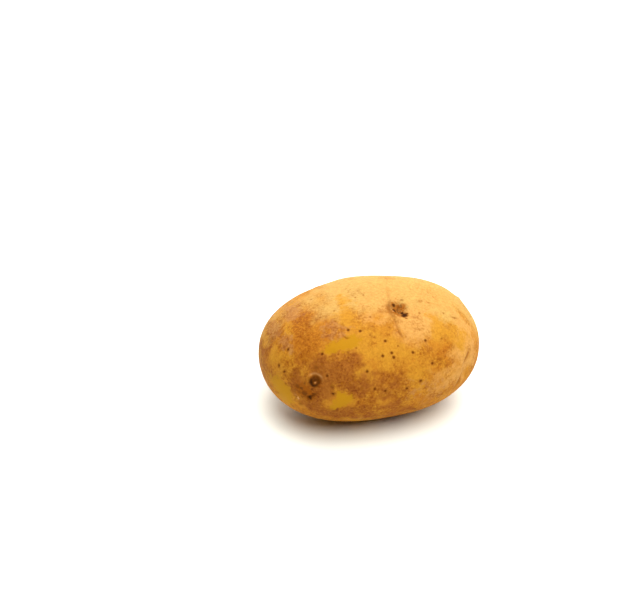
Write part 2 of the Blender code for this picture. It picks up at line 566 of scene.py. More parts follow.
@dataclass(frozen=True)
class Body:
    """The tuber's body, before its eyes: a full oval with a taper and a few broad swells."""

    half_sizes: tuple[float, float, float] = (47.4 * MM, 34.0 * MM, 25.8 * MM)
    fullness: float = 2.15
    taper: float = 0.058
    flat_depth: float = 0.4 * MM
    swells: tuple[Swell, ...] = (
        Swell(10, 40, 34, 1.5 * MM),
        Swell(-20, -25, 34, 1.3 * MM),
        Swell(-5, 0, 30, -4.8 * MM),
        Swell(95, 62, 36, 1.0 * MM),
        Swell(60, 35, 32, -1.4 * MM),
        Swell(150, 30, 34, -1.4 * MM),
        Swell(-155, -25, 34, 1.4 * MM),
        Swell(-75, -45, 36, 0.4 * MM),
        Swell(128, -12, 26, 1.0 * MM),
        Swell(84, 4, 20, -1.0 * MM),
        Swell(-175, 13, 7, -0.6 * MM),
    )

    def radius(self, directions: Array) -> Array:
        """How far the surface is from the heart in each direction, before the taper."""
        halves = np.array(self.half_sizes)
        radius = (np.abs(directions / halves) ** self.fullness).sum(axis=1) ** (-1 / self.fullness)
        for swell in self.swells:
            middle = towards(swell.azimuth, swell.elevation)
            angle = np.degrees(np.arccos(np.clip(directions @ middle, -1, 1)))
            radius = radius + swell.height * hump(angle / swell.spread)
        return radius

    def narrowing(self, x: Array) -> Array:
        """How much narrower the body is at x than at its heart."""
        return 1 - self.taper * x / self.half_sizes[0]

    def points(self, directions: Array) -> Array:
        """The body's points in these directions."""
        points = directions * self.radius(directions)[:, None]
        points[:, 1:] *= self.narrowing(points[:, :1])
        return points

    def holds(self, points: Array) -> Array:
        """Which points lie inside the body."""
        untapered = points.copy()
        untapered[:, 1:] /= self.narrowing(points[:, :1])
        distance = np.linalg.norm(untapered, axis=1)
        return distance < self.radius(untapered / distance[:, None])

    def outwards(self, direction: Array) -> Array:
        """The unit vector out of the surface in a direction from the heart."""
        step = 0.02
        side = unit(np.cross(direction, towards(90, 0) if abs(direction[1]) < 0.9 else towards(0, 0)))
        other = np.cross(direction, side)
        around = np.array([direction, direction + step * side, direction + step * other])
        here, one, two = self.points(unit(around))
        way = unit(np.cross(one - here, two - here))
        return way * np.sign(way @ direction)

    def spot(self, direction: Array, way: Array) -> Spot:
        """The place on the skin in a direction from the heart."""
        return Spot(self.points(direction[None, :])[0], self.outwards(direction), way)


@dataclass(frozen=True)
class Fit:
    """How the body, as it is worked out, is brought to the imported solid's box."""

    share: Array
    shift: Array

    @classmethod
    def of(cls, points: Array, box: tuple[Array, Array]) -> "Fit":
        """The fit that brings these points to a box."""
        low, high = points.min(axis=0), points.max(axis=0)
        share = (box[1] - box[0]) / (high - low)
        return cls(share, box[0] - low * share)

    def apply(self, points: Array) -> Array:
        """The points in the box."""
        return points * self.share + self.shift

    def undo(self, points: Array) -> Array:
        """The points as they are before they are brought to the box."""
        return (points - self.shift) / self.share


# Eyes stand on a spiral that starts at the stolon end. Angles are in degrees.
FIRST_EYE_POLAR = 160.0
EYE_STEP = 20.0
FIRST_EYE_ROLL = -127.5
EYE_TURN = 137.5
SCAR_POLAR = 165.0
SCAR_ROLL = 188.0

EYES = (
    Eye(width=5.0 * MM, depth=0.8 * MM, lid_height=0.35 * MM),
    Eye(width=5.6 * MM, depth=1.2 * MM, bud_height=0.9 * MM, lid_turn=50.0),
    Eye(width=6.6 * MM, depth=1.3 * MM),
    Eye(width=5.6 * MM, depth=0.9 * MM, lid_height=0.35 * MM, roll_shift=-35.0),
    Eye(width=7.6 * MM, depth=1.4 * MM, roll_shift=-4.0, lid_turn=15.0),
    Eye(width=7.0 * MM, depth=1.3 * MM, lid_turn=-20.0),
    Eye(width=8.0 * MM, depth=1.0 * MM, polar_shift=2.0, roll_shift=20.0, lid_turn=-12.0),
    Eye(width=6.2 * MM, depth=1.2 * MM),
    Eye(width=5.4 * MM, depth=1.1 * MM, polar_shift=6.0),
)
EYE_LOOKS = (
    EyeLook(crust=0.3), EyeLook(crust=0.2, fold=0.1, disc=1.0, rim=0.28, bud_shift=(0.09, 0.17)),
    EyeLook(fold=0.75), EyeLook(crust=0.3), EyeLook(crust=0.7, fold=0.4), EyeLook(crust=0.5, disc=0.1),
    EyeLook(crust=0.1, fold=0.1), EyeLook(fold=0.75), EyeLook(crust=0.5, fold=0.6, disc=0.1),
)

# Large and small lenticels that stand out in the photograph, each kind with its radius and its
# darkness. Places are pixels, and lengths in all these rows are in millimetres.
LENTICELS_SEEN: tuple[tuple[float, float, tuple[Pixel, ...]], ...] = (
    (0.56, 0.9, (
        (367, 371.5), (420.5, 381), (374.5, 389), (385, 391), (406.5, 388.5), (327, 376), (322, 354),
        (425, 340.5), (391.5, 353), (393.5, 357.5), (382.5, 356), (412.5, 352.5), (385, 341),
        (360, 331), (348, 330), (432, 363.5), (288, 349.5), (284.5, 371.5), (279, 365.5),
    )),
    (0.38, 0.6, (
        (434, 374.5), (443, 351.5), (441.5, 338.5), (398, 331.5), (370, 317), (355, 297.5), (363, 295),
        (321, 294.5), (311, 299.5), (334, 311), (320, 318), (335, 321.5), (309.5, 326.5), (302, 310),
        (397.5, 346), (370, 335), (374, 337.5), (338, 354.5), (356, 348), (398, 392.5), (358, 388.5),
        (333, 394), (365, 396), (354, 398), (443, 313.5), (419, 313), (389, 327), (454, 318),
        (421, 301), (278, 392.5), (285.5, 383.5), (279, 347),
    )),
)

# Rough, flaking places: by the round eye, in the crusty eye, and in the dent on the left. In the
# crusty eye, pixels here and below allow for its depth: a mark shows 1.7 pixels lower there.
# Each has its radius, how crusty, dark and pale it is, and its grain.
CRUMBS_SEEN: tuple[tuple[Pixel, float, float, float, float, float], ...] = (
    ((303, 390), 3.8, 0.8, 0.55, 0.2, 1.5),
    ((310, 396), 2.2, 0.9, 0.8, 0.0, 1.2),
    ((297.5, 397), 1.1, 0.1, 0.5, 0.9, 0.9),
    ((392, 308), 2.0, 0.45, 0.1, 0.3, 1.6),
    ((398, 307), 3.2, 1.1, 0.5, 0.0, 1.0),
    ((402.5, 305.5), 2.0, 1.0, 0.2, 0.1, 0.9),
    ((271, 341), 1.6, 0.6, 0.6, 0.3, 0.9),
)
# Dark pits, each with its radius
DARK_PITS_SEEN: tuple[tuple[Pixel, float], ...] = (
    ((462, 374), 0.45), ((309, 397.5), 0.8), ((333, 394), 0.42),
)

# Stains, each with its share and its radius
STAINS_SEEN: dict[Tint, tuple[tuple[float, float, Pixel], ...]] = {
    Tint.CRUST_AND_SHADE: (
        (1.0, 1.45, (397.6, 305.2)), (1.0, 1.00, (400.0, 306.2)), (0.8, 1.20, (402.8, 304.6)),
        (0.8, 1.10, (398.6, 311.0)), (0.6, 0.55, (398.6, 331.5)), (0.5, 0.50, (405.6, 336.4)),
        (0.5, 0.90, (419.6, 301.2)), (0.4, 0.60, (428.0, 302.7)), (0.35, 1.10, (379.5, 310.5)),
        (0.35, 0.60, (382.6, 305.5)), (0.9, 1.60, (298.3, 388.5)), (0.9, 1.70, (303.5, 393.5)),
        (0.9, 1.20, (308.5, 391.0)),
    ),
    Tint.PALE: (
        (0.8, 0.40, (392.6, 310.6)), (0.6, 0.35, (404.2, 311.4)), (0.6, 0.50, (399.6, 311.4)),
    ),
    Tint.DARK: (
        (1.0, 1.25, (404.6, 313.7)), (1.0, 0.75, (402.3, 311.0)), (0.8, 0.45, (407.0, 312.4)),
        (0.9, 0.80, (393.5, 303.9)), (0.9, 0.75, (394.2, 308.8)), (0.8, 0.55, (395.2, 310.6)),
        (0.35, 0.60, (389.0, 304.6)), (0.3, 0.65, (401.4, 299.4)), (0.5, 0.55, (406.1, 317.3)),
        (0.6, 0.50, (399.2, 310.2)), (0.6, 0.55, (397.5, 308.2)), (0.4, 0.50, (400.6, 308.6)),
        (0.4, 0.70, (399.0, 304.8)), (0.45, 0.90, (297.8, 386.5)), (0.55, 1.30, (304.5, 393.2)),
        (0.4, 0.80, (299.5, 392.0)), (0.9, 1.05, (309.6, 397.6)), (0.55, 0.75, (313.6, 394.4)),
        (0.35, 0.80, (300.5, 403.5)), (0.35, 0.80, (333.5, 393.6)), (0.3, 0.80, (332.0, 386.5)),
        (0.3, 0.90, (315.5, 367.5)),
    ),
}

# Creases, each with its width and its darkness, how deep the painted shade in the fold is
CREASES_SEEN: tuple[tuple[float, float, tuple[Pixel, ...]], ...] = (
    (1.0, 0.34, ((391.5, 315), (394.5, 321), (397, 327), (399, 332))),
    (0.9, 0.50, ((397, 328), (399.5, 333.5), (402.5, 338))),
    (1.7, 0.58, ((389.2, 300), (388, 305.5), (389.6, 311), (392.5, 316))),
    (1.2, 0.90, ((317, 393), (313, 395.5), (309, 397.5), (308, 400))),
    (1.0, 0.18, ((387.5, 287), (387.5, 294), (388.5, 301))),
    (1.4, 0.58, ((468.8, 350), (467, 357), (463.5, 364))),
    (1.9, 0.56, ((463.5, 370), (461.5, 376), (459, 381), (455, 387))),
    (0.7, 0.50, ((342, 335), (346, 338.5), (349, 338))),
    (0.7, 0.30, ((425, 302), (428, 302.8), (431, 303.5))),
    (0.6, 0.50, ((450, 317), (454, 318), (458, 318.5))),
)

# Patches that the photograph shows, each with its depth and its corners
PATCHES_SEEN: dict[Tint, tuple[tuple[float, tuple[Pixel, ...]], ...]] = {
    Tint.BARE: (
        (8, ((321, 350), (330, 353.5), (346, 351), (358, 345), (362, 338), (352, 335), (334, 341))),
        (8, ((328.5, 409.5), (335.5, 397), (339.5, 391), (345, 392), (357, 398.5), (347, 405.5))),
        (8, ((269, 374), (283, 377), (288, 387), (293, 391), (293, 402), (286, 403), (277, 392))),
    ),
    Tint.SMOOTH: (
        (3, ((280, 324), (289, 324), (290, 334), (282, 335))),
        (3, ((356.5, 360), (367, 360.5), (368, 376), (358, 377))),
        (1.5, ((338, 298), (348, 296), (352, 316), (348, 334), (340, 320))),
        (2.5, ((340, 342), (362, 327), (384, 331), (404, 345), (424, 355), (408, 366), (380, 364))),
        (1.5, ((430, 318), (452, 322), (466, 338), (462, 350), (446, 344), (434, 338))),
        (0.5, ((404, 374), (420, 370), (430, 378), (420, 388), (407, 384))),
        (1, ((272, 345), (284, 350), (291, 357), (285, 364), (272, 362))),
    ),
    # Painted sheen: these pale yellow patches over the top stand for the paleness of the light falling there,
    # over some of the skin's own tone.
    Tint.STRAW_AND_SHEEN: (
        (5, ((310, 290), (345, 281), (385, 279), (402, 296), (394, 310), (356, 313), (322, 304))),
        (5, ((385, 280), (425, 287), (452, 304), (466, 324), (450, 330), (418, 328), (396, 318))),
        (-1, ((264, 331), (288, 303), (322, 286), (324, 298), (292, 314), (270, 340))),
        (1.5, ((300, 298), (330, 290), (346, 296), (340, 318), (316, 318))),
    ),
    # Partly painted sheen: the pinkish patches on the upper right and along the right edge stand for the
    # paleness of the light falling there; the rest is the skin's own tone.
    Tint.PEACH_AND_SHEEN: (
        (4, ((404, 306), (428, 304), (436, 322), (426, 342), (404, 344), (392, 326))),
        (2.5, ((450, 312), (464, 318), (475, 342), (473, 362), (458, 384), (446, 380), (452, 348))),
        (1, ((412, 287), (430, 287), (452, 302), (454, 312), (428, 306))),
        (0, ((375, 279), (393, 279), (395, 300), (392, 322), (366, 322), (362, 306))),
        (0, ((434, 376), (458, 366), (462, 380), (446, 393), (428, 392))),
    ),
    Tint.CORK_AND_SHADE: (
        (4, ((312, 354), (336, 354), (352, 353), (361, 362), (357, 378), (344, 389), (320, 388), (307, 374))),
        (2, ((290, 370), (312, 358), (336, 374), (335, 397), (313, 411), (297, 403), (290, 386))),
        (0.8, ((340, 376), (366, 370), (396, 374), (408, 382), (404, 395), (376, 400), (352, 394))),
        (1, ((300, 400), (324, 406), (352, 408), (400, 402), (410, 409), (370, 419), (335, 417), (313, 412))),
        (-0.5, ((312, 390), (332, 388), (338, 404), (338, 413), (318, 412))),
        # Painted shade: this brown band darkens the left end, as if something beside it shaded it.
        (1.5, ((262, 347), (269, 350), (271, 371), (265, 371))),
    ),
    Tint.RUSSET: (
        (4, ((292, 334), (314, 330), (326, 344), (316, 362), (298, 372), (288, 354))),
        (1.5, ((268, 334), (296, 314), (330, 312), (338, 336), (314, 350), (284, 352))),
        (-0.5, ((430, 342), (444, 341), (450, 350), (446, 364), (430, 370), (424, 354))),
        (0.8, ((376, 372), (396, 371), (420, 371), (434, 374), (426, 383), (408, 387), (380, 382))),
        (-0.5, ((356, 398), (404, 396), (430, 392), (430, 402), (400, 410), (362, 408))),
    ),
    Tint.SCURF: (
        (2, ((285, 307), (297, 303), (301, 316), (292, 322), (284, 318))),
        (2, ((268, 324), (281, 322), (282, 338), (270, 340))),
        (1, ((281, 337), (292, 337), (292, 350), (282, 349))),
        (0.5, ((320, 325), (334, 322), (348, 328), (344, 338), (326, 340))),
        (-0.5, ((410, 384), (440, 382), (444, 392), (424, 402), (408, 398))),
    ),
}

# Patches that reach over the outline, each with its radius, azimuth and elevation from the heart
PATCHES_OVER_EDGE: tuple[tuple[Tint, float, float, float, float], ...] = (
    # Painted sheen: the three pale yellow patches over the top stand for the paleness of the light falling
    # there.
    (Tint.STRAW_AND_SHEEN, 5.0, 22.0, 14.0, 22.0),
    (Tint.STRAW_AND_SHEEN, 4.0, 20.0, 48.0, 52.0),
    (Tint.STRAW_AND_SHEEN, 4.0, 20.0, 95.0, 62.0),
    (Tint.SMOOTH, 1.0, 14.0, 20.0, -8.0),
)


@dataclass
class UnseenSkin:
    """Draws lenticels and patches for the sides that the photograph doesn't show.

    Their numbers and sizes are like those of the side that it does show. patch_counts has how
    many patches there are of each tint, and their least and greatest size. Lengths are in
    millimetres.
    """

    body: Body
    camera_way: Array
    seed: int = 7
    lenticels: int = 150
    lenticel_radii: tuple[float, float] = (0.32, 0.56)
    darknesses: tuple[float, float] = (0.35, 0.9)
    patch_counts: tuple[tuple[Tint, int, float, float], ...] = (
        (Tint.CORK_AND_SHADE, 11, 8.0, 17.0),
        (Tint.RUSSET, 11, 7.0, 15.0),
        (Tint.SMOOTH, 10, 6.0, 12.0),
        (Tint.STRAW_AND_SHEEN, 8, 7.0, 14.0),
        (Tint.BARE, 12, 3.0, 7.0),
        (Tint.SCURF, 6, 3.0, 6.0),
        (Tint.PEACH_AND_SHEEN, 7, 6.0, 12.0),
    )
    corners: int = 6

    def __post_init__(self) -> None:
        """Starts the one row of random draws."""
        self.draws = np.random.default_rng(self.seed)

    def direction(self, hidden_below: float) -> Array:
        """A direction whose surface turns away from the camera by more than a limit."""
        while True:
            direction = unit(self.draws.normal(size=3))
            if self.body.outwards(direction) @ self.camera_way < hidden_below:
                return direction

    def draw_lenticels(self) -> list[Lenticel]:
        """Lenticels of mixed sizes."""
        drawn = []
        for _ in range(self.lenticels):
            spot = self.body.spot(self.direction(0.12), UPRIGHT)
            radius = self.draws.uniform(*self.lenticel_radii) * MM
            drawn.append(Lenticel(spot, radius, self.draws.uniform(*self.darknesses)))
        return drawn

    def draw_patches(self) -> list[Patch]:
        """Patches of every kind, each with corners at uneven distances."""
        drawn = []
        for tint, count, least, most in self.patch_counts:
            for _ in range(count):
                spot = self.body.spot(self.direction(-0.05), self.draws.normal(size=3))
                size, slimness = self.draws.uniform(least, most) * MM, self.draws.uniform(0.45, 1.0)
                angles = np.sort(self.draws.uniform(0, 2 * np.pi, self.corners))
                out = size * self.draws.uniform(0.75, 1.0, self.corners)
                along, across = spot.axes()
                corners = spot.middle + np.outer(out * np.cos(angles), along)
                corners += np.outer(out * np.sin(angles) * slimness, across)
                depth = PATCH_EDGE_REACH if tint is Tint.BARE else self.draws.uniform(0.0, 3.5)
                drawn.append(Patch(tint, depth, corners, spot.outwards))
        return drawn


@dataclass
class Tuber:
    """The whole potato: one closed mesh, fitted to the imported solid."""

    camera: PhotoCamera
    body: Body = Body()
    ball_subdivisions: int = 7
    search_reach: float = 60 * MM
    search_steps: int = 1500
    bumps: tuple[tuple[str, float, float], ...] = (
        ("slow_swell", 0.3 * MM, 20.0 * MM),
        ("ripple", 0.09 * MM, 4.5 * MM),
        ("grain", 0.05 * MM, 1.6 * MM),
    )

    def __post_init__(self) -> None:
        """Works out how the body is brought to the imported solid's box."""
        low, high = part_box(NODE)
        self.box = (np.array(low), np.array(high))
        self.camera_place = self.camera.place((self.box[0] + self.box[1]) / 2)
        self.fit = Fit.of(self.pressed(self.body.points(self.even_directions())), self.box)

    @staticmethod
    def even_directions(count: int = 20000) -> Array:
        """Directions spread evenly all round, for measuring the body."""
        k = np.arange(count)
        z = 1 - (2 * k + 1) / count
        turn = k * math.pi * (3 - math.sqrt(5))
        level = np.sqrt(1 - z * z)
        return np.stack([level * np.cos(turn), level * np.sin(turn), z], axis=1)

    def pressed(self, points: Array) -> Array:
        """The points with the underside pressed flat where it lies."""
        points = points.copy()
        points[:, 2] = np.maximum(points[:, 2], points[:, 2].min() + self.body.flat_depth)
        return points

    def direction_under(self, pixel: Pixel) -> Array:
        """The direction from the heart of what the photograph shows at a pixel.

        Args:
            pixel: A place inside the tuber's outline.

        Returns:
            A unit vector.
        """
        depths = self.camera.distance + np.linspace(-self.search_reach, self.search_reach, self.search_steps)
        points = self.fit.undo(self.camera_place + np.outer(depths, unit(self.camera.way(pixel))))
        inside = self.body.holds(points)
        if not inside.any():
            raise ValueError(f"pixel {pixel} is outside the tuber")
        point = points[inside.argmax()].copy()
        point[1:] /= self.body.narrowing(point[0])
        return unit(point)

    def spot_under(self, pixel: Pixel) -> Spot:
        """The place on the skin that the photograph shows at a pixel."""
        return self.body.spot(self.direction_under(pixel), UPRIGHT)

    def marks(self) -> list[Mark]:
        """Everything that marks the skin, from the broadest to the finest."""
        marks: list[Mark] = []
        for tint, rows in PATCHES_SEEN.items():
            for depth, outline in rows:
                spots = [self.spot_under(corner) for corner in outline]
                outwards = np.mean([spot.outwards for spot in spots], axis=0)
                corners = np.array([spot.middle for spot in spots])
                marks.append(Patch(tint, depth, corners, unit(outwards)))
        for tint, depth, radius, azimuth, elevation in PATCHES_OVER_EDGE:
            spot = self.body.spot(towards(azimuth, elevation), UPRIGHT)
            side = radius * MM * spot.axes()[1]
            turns = [turned(side, spot.outwards, angle) for angle in range(0, 360, 60)]
            corners = spot.middle + np.array(turns)
            marks.append(Patch(tint, depth, corners, spot.outwards))
        unseen = UnseenSkin(self.body, self.camera.axes()[2])
        marks += unseen.draw_patches()
        for number, (eye, look) in enumerate(zip(EYES, EYE_LOOKS)):
            polar = FIRST_EYE_POLAR - EYE_STEP * number + eye.polar_shift
            direction = on_spiral(polar, FIRST_EYE_ROLL + EYE_TURN * number + eye.roll_shift)
            lid_way = turned(towards(180, 0), self.body.points(direction[None, :])[0], eye.lid_turn)
            marks.append(EyeOnSkin(self.body.spot(direction, lid_way), eye, look))
        marks.append(Scar(self.body.spot(on_spiral(SCAR_POLAR, SCAR_ROLL), UPRIGHT)))
        for pixel, radius, crust, dark, pale, grain in CRUMBS_SEEN:
            marks.append(Crumbs(self.spot_under(pixel), radius * MM, crust, dark, pale, grain * MM))
        for pixel, radius in DARK_PITS_SEEN:
            marks.append(Lenticel(self.spot_under(pixel), radius * MM, 1.0, depth_share=0.5, paleness=0.0))
        for width, darkness, line in CREASES_SEEN:
            places = np.array([self.spot_under(pixel).middle for pixel in line])
            marks.append(Crease(places, width * MM, darkness))
        for tint, rows in STAINS_SEEN.items():
            for share, radius, pixel in rows:
                marks.append(Stain(self.spot_under(pixel), tint, share, radius * MM))
        for radius, darkness, pixels in LENTICELS_SEEN:
            marks += [Lenticel(self.spot_under(pixel), radius * MM, darkness) for pixel in pixels]
        return marks + unseen.draw_lenticels()

    def add_ball(self) -> bpy.types.Object:
        """A ball of even triangles, as a start."""
        bpy.ops.object.select_all(action="DESELECT")
        bpy.ops.mesh.primitive_ico_sphere_add(subdivisions=self.ball_subdivisions, radius=1.0)
        ball = bpy.context.object
        ball.name = ball.data.name = "tuber"
        return ball

    @staticmethod
    def read(items: Any, name: str = "co") -> Array:
        """A vector of each item of a mesh, such as its place."""
        flat = np.empty(3 * len(items), np.float32)
        items.foreach_get(name, flat)
        return flat.reshape(-1, 3).astype(float)

    @staticmethod
    def write(ball: bpy.types.Object, points: Array) -> None:
        """Moves the ball's vertices."""
        ball.data.vertices.foreach_set("co", points.astype(np.float32).ravel())
        ball.data.update()

    def directions(self, ball: bpy.types.Object) -> Array:
        """The directions of the ball's vertices from the heart."""
        return unit(self.read(ball.data.vertices))

    def refine(self, ball: bpy.types.Object, marks: list[Mark], passes: int = 3) -> None:
        """Subdivides the ball where the marks are finer than its triangles."""
        for done in range(passes):
            points = self.body.points(self.directions(ball))
            wanted = np.zeros(len(points), int)
            for mark in marks:
                wanted = np.maximum(wanted, mark.wanted_passes(points))
            chosen = wanted > done
            ends = np.empty(2 * len(ball.data.edges), np.int32)
            ball.data.edges.foreach_get("vertices", ends)
            ball.data.vertices.foreach_set("select", chosen)
            ball.data.edges.foreach_set("select", chosen[ends.reshape(-1, 2)].all(axis=1))
            ball.data.polygons.foreach_set("select", np.zeros(len(ball.data.polygons), bool))
            bpy.ops.object.mode_set(mode="EDIT")
            bpy.ops.mesh.select_mode(type="EDGE")
            bpy.ops.mesh.subdivide(number_cuts=1, ngon=False)
            bpy.ops.mesh.select_all(action="SELECT")
            bpy.ops.mesh.quads_convert_to_tris()
            bpy.ops.object.mode_set(mode="OBJECT")

    def displace(self, ball: bpy.types.Object, name: str, height: float, size: float) -> None:
        """Raises and sinks the whole skin by soft noise, up to half the height each way."""
        clouds = bpy.data.textures.new(name, "CLOUDS")
        clouds.noise_scale, clouds.noise_depth = size, 1
        modifier = ball.modifiers.new(name, "DISPLACE")
        modifier.texture, modifier.texture_coords = clouds, "LOCAL"
        modifier.strength, modifier.mid_level = height, 0.5
        bpy.ops.object.modifier_apply(modifier=modifier.name)

    def mark_skin(self, ball: bpy.types.Object, marks: list[Mark]) -> None:
        """Presses every mark into the skin and keeps its tints as attributes."""
        skin = Skin(self.read(ball.data.vertices), self.read(ball.data.vertex_normals, "vector"))
        for mark in marks:
            mark.press_into(skin)
        points = self.pressed(skin.points + skin.normals * skin.raised[:, None])
        self.write(ball, Fit.of(points, self.box).apply(points))
        for tint, values in skin.tints.items():
            attribute = ball.data.attributes.new(tint.value, "FLOAT", "POINT")
            most = PATCH_EDGE_REACH if tint in PATCH_TINTS else 1.0
            attribute.data.foreach_set("value", np.minimum(values, most).astype(np.float32))

    def build(self, skin_finish: "PeridermSkin") -> bpy.types.Object:
        """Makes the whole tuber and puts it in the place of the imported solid."""
        marks = self.marks()
        ball = self.add_ball()
        self.refine(ball, marks)
        self.write(ball, self.body.points(self.directions(ball)))
        for name, height, size in self.bumps:
            self.displace(ball, name, height, size)
        self.mark_skin(ball, marks)
        ball.data.materials.append(skin_finish.build())
        ball.data.shade_smooth()
        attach(ball, "root")
        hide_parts(NODE)
        log.info("tuber: %d triangles, %d marks", len(ball.data.polygons), len(marks))
        return ball


def add_node(
    tree: bpy.types.NodeTree, kind: str, inputs: dict[Any, Any] | None = None, out: int | str = 0,
    **settings: Any,
) -> Socket | None:
    """Adds a shader node to a tree, with its settings and links.

    Args:
        tree: The node tree.
        kind: The node's type, without ShaderNode in front.
        inputs: A value or another node's output for each input, by name or number.
        out: The output that is wanted, by name or number.
        **settings: The node's own properties.

    Returns:
        That output, if the node has any.
    """
    made = tree.nodes.new("ShaderNode" + kind)
    for name, value in settings.items():
        setattr(made, name, value)
    for name, value in (inputs or {}).items():
        if isinstance(value, Socket):
            tree.links.new(value, made.inputs[name])
        else:
            made.inputs[name].default_value = value
    return made.outputs[out] if made.outputs else None


def new_material(name: str) -> tuple[bpy.types.Material, Callable[..., Socket]]:
    """Makes an empty material, and what adds a node to it."""
    material = bpy.data.materials.new(name)
    material.use_nodes = True
    material.node_tree.nodes.clear()
    return material, partial(add_node, material.node_tree)


@dataclass(frozen=True)
class SkinLayer:
    """One kind of skin over those below it, where an attribute of the mesh says.

    For a patch, the edge wanders by about wobble, in bumps of wobble_size, and fades over
    softness. All three are in millimetres. A layer with no wobble covers by its plain share.
    """

    tint: Tint
    colour: str
    cover: float = 1.0
    wobble: float = 0.0
    wobble_size: float = 3.0
    softness: float = 0.0


@dataclass(frozen=True)
class Speckling:
    """Small marks all over the skin, where a fine noise is high.

    They are as far apart as size, in millimetres, start where the noise passes faint and are
    full where it passes full. The calmest skin keeps least of their share.
    """

    colour: str
    size: float
    faint: float
    full: float
    share: float
    least: float
    blend: str = "MULTIPLY"


